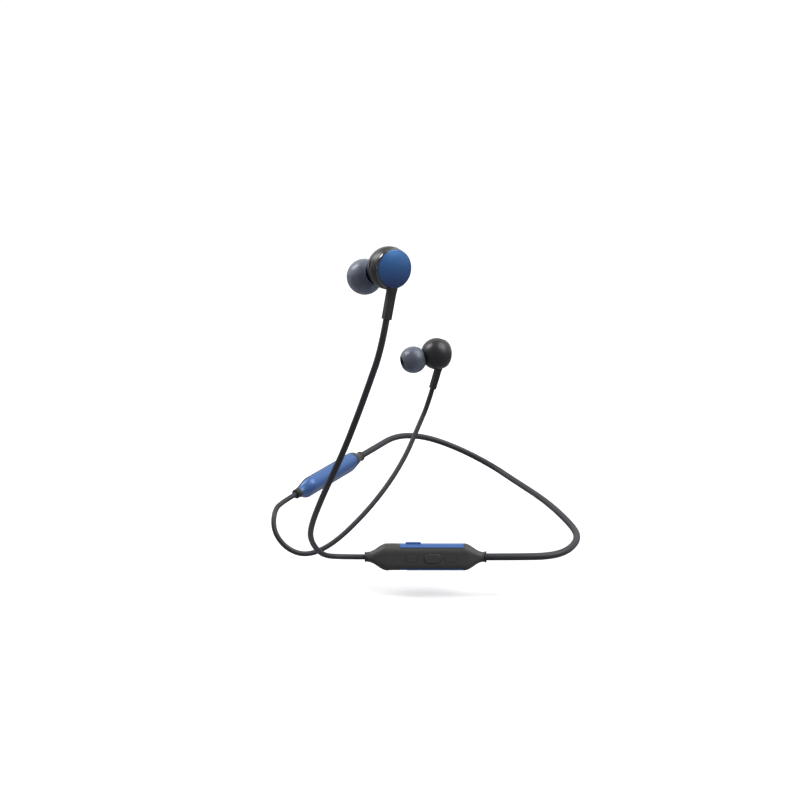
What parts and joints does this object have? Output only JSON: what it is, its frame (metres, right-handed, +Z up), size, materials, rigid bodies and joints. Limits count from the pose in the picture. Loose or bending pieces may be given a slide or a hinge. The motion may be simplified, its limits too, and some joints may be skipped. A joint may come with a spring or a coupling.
{
  "type": "neckband earphones",
  "caption": "In-ear earphones on a cable that passes behind the neck, with a control pod on one side, a battery pod on the other and a lead up to each earbud.",
  "frame": {"origin": "centre of the neck cable at the middle of its length, where it rests on the wearer", "axes": "+X along the control pod from its lead end to its neck end, -X is the way the wearer faces, +Y towards the wearer's right, +Z up"},
  "size_m": [0.1339, 0.198, 0.1475],
  "materials": {
    "blue_faceplate": "anodised blue, finely brushed, satin",
    "gloss_black": "polished black",
    "dark_housing": "satin dark grey",
    "steel_mesh": "fine woven mesh",
    "driver_steel": "plated steel",
    "magnet": "nickel plated",
    "diaphragm_film": "thin polymer film",
    "black_rubber": "moulded, matt",
    "smoky_silicone": "translucent smoky blue-grey silicone",
    "soft_touch_black": "soft-touch matt",
    "blue_shell": "satin metallic blue paint",
    "circuit_board": "solder mask",
    "switch_plastic": "moulded",
    "shield_steel": "tinned",
    "light_pipe": "translucent white",
    "cell_wrap": "laminated foil",
    "foam": "closed-cell foam",
    "cable_jacket": "matt thermoplastic jacket"
  },
  "bodies": {
    "earphones": {"left_faceplate": "blue_faceplate", "left_trim_ring": "gloss_black", "left_outer_housing": "gloss_black", "left_nozzle_housing": "dark_housing", "left_nozzle_mesh": "steel_mesh", "left_driver_frame": "driver_steel", "left_driver_magnet": "magnet", "left_cable_sleeve": "black_rubber", "right_faceplate": "blue_faceplate", "right_trim_ring": "gloss_black", "right_outer_housing": "gloss_black", "right_nozzle_housing": "dark_housing", "right_nozzle_mesh": "steel_mesh", "right_driver_frame": "driver_steel", "right_driver_magnet": "magnet", "right_cable_sleeve": "black_rubber", "control_front_shell": "soft_touch_black", "control_back_shell": "blue_shell", "control_lead_collar": "black_rubber", "control_neck_collar": "black_rubber", "circuit_board": "circuit_board", "key_switches": "switch_plastic", "power_switch": "switch_plastic", "bluetooth_module": "shield_steel", "charging_socket": "shield_steel", "microphone": "shield_steel", "status_light": "light_pipe", "battery_front_shell": "soft_touch_black", "battery_back_shell": "blue_shell", "battery_lead_collar": "black_rubber", "battery_neck_collar": "black_rubber", "battery_cell": "cell_wrap", "protection_board": "circuit_board", "foam_pad": "foam", "left_lead": "cable_jacket", "right_lead": "cable_jacket", "neck_cable": "cable_jacket"},
    "play_key": {"play_button": "soft_touch_black"},
    "volume_down_key": {"volume_down_button": "soft_touch_black"},
    "volume_up_key": {"volume_up_button": "soft_touch_black"},
    "power_key": {"power_button": "blue_shell"},
    "left_tip": {"left_eartip": "smoky_silicone"},
    "right_tip": {"right_eartip": "smoky_silicone"},
    "left_cone": {"left_diaphragm": "diaphragm_film"},
    "right_cone": {"right_diaphragm": "diaphragm_film"}
  },
  "joints": [
    {"name": "play_press", "type": "slide", "parent": "earphones", "child": "play_key", "axis": [0, 0.9744, -0.225], "range_m": [0, 0.0003], "stiffness_N_per_m": 600},
    {"name": "volume_down_press", "type": "slide", "parent": "earphones", "child": "volume_down_key", "axis": [0, 0.9744, -0.225], "range_m": [0, 0.0003], "stiffness_N_per_m": 600},
    {"name": "volume_up_press", "type": "slide", "parent": "earphones", "child": "volume_up_key", "axis": [0, 0.9744, -0.225], "range_m": [0, 0.0003], "stiffness_N_per_m": 600},
    {"name": "power_press", "type": "slide", "parent": "earphones", "child": "power_key", "axis": [0, -0.225, -0.9744], "range_m": [0, 0.0003], "stiffness_N_per_m": 600},
    {"name": "left_eartip_pull", "type": "slide", "parent": "earphones", "child": "left_tip", "axis": [-0.7322, 0.5722, -0.3695], "range_m": [0, 0.012]},
    {"name": "left_diaphragm_travel", "type": "slide", "parent": "earphones", "child": "left_cone", "axis": [0.5285, -0.8474, 0.0503], "range_m": [-0.00015, 0.00015], "stiffness_N_per_m": 600},
    {"name": "right_eartip_pull", "type": "slide", "parent": "earphones", "child": "right_tip", "axis": [-0.9436, -0.2802, -0.1761], "range_m": [0, 0.012]},
    {"name": "right_diaphragm_travel", "type": "slide", "parent": "earphones", "child": "right_cone", "axis": [0.8099, 0.5601, -0.1744], "range_m": [-0.00015, 0.00015], "stiffness_N_per_m": 600}
  ]
}
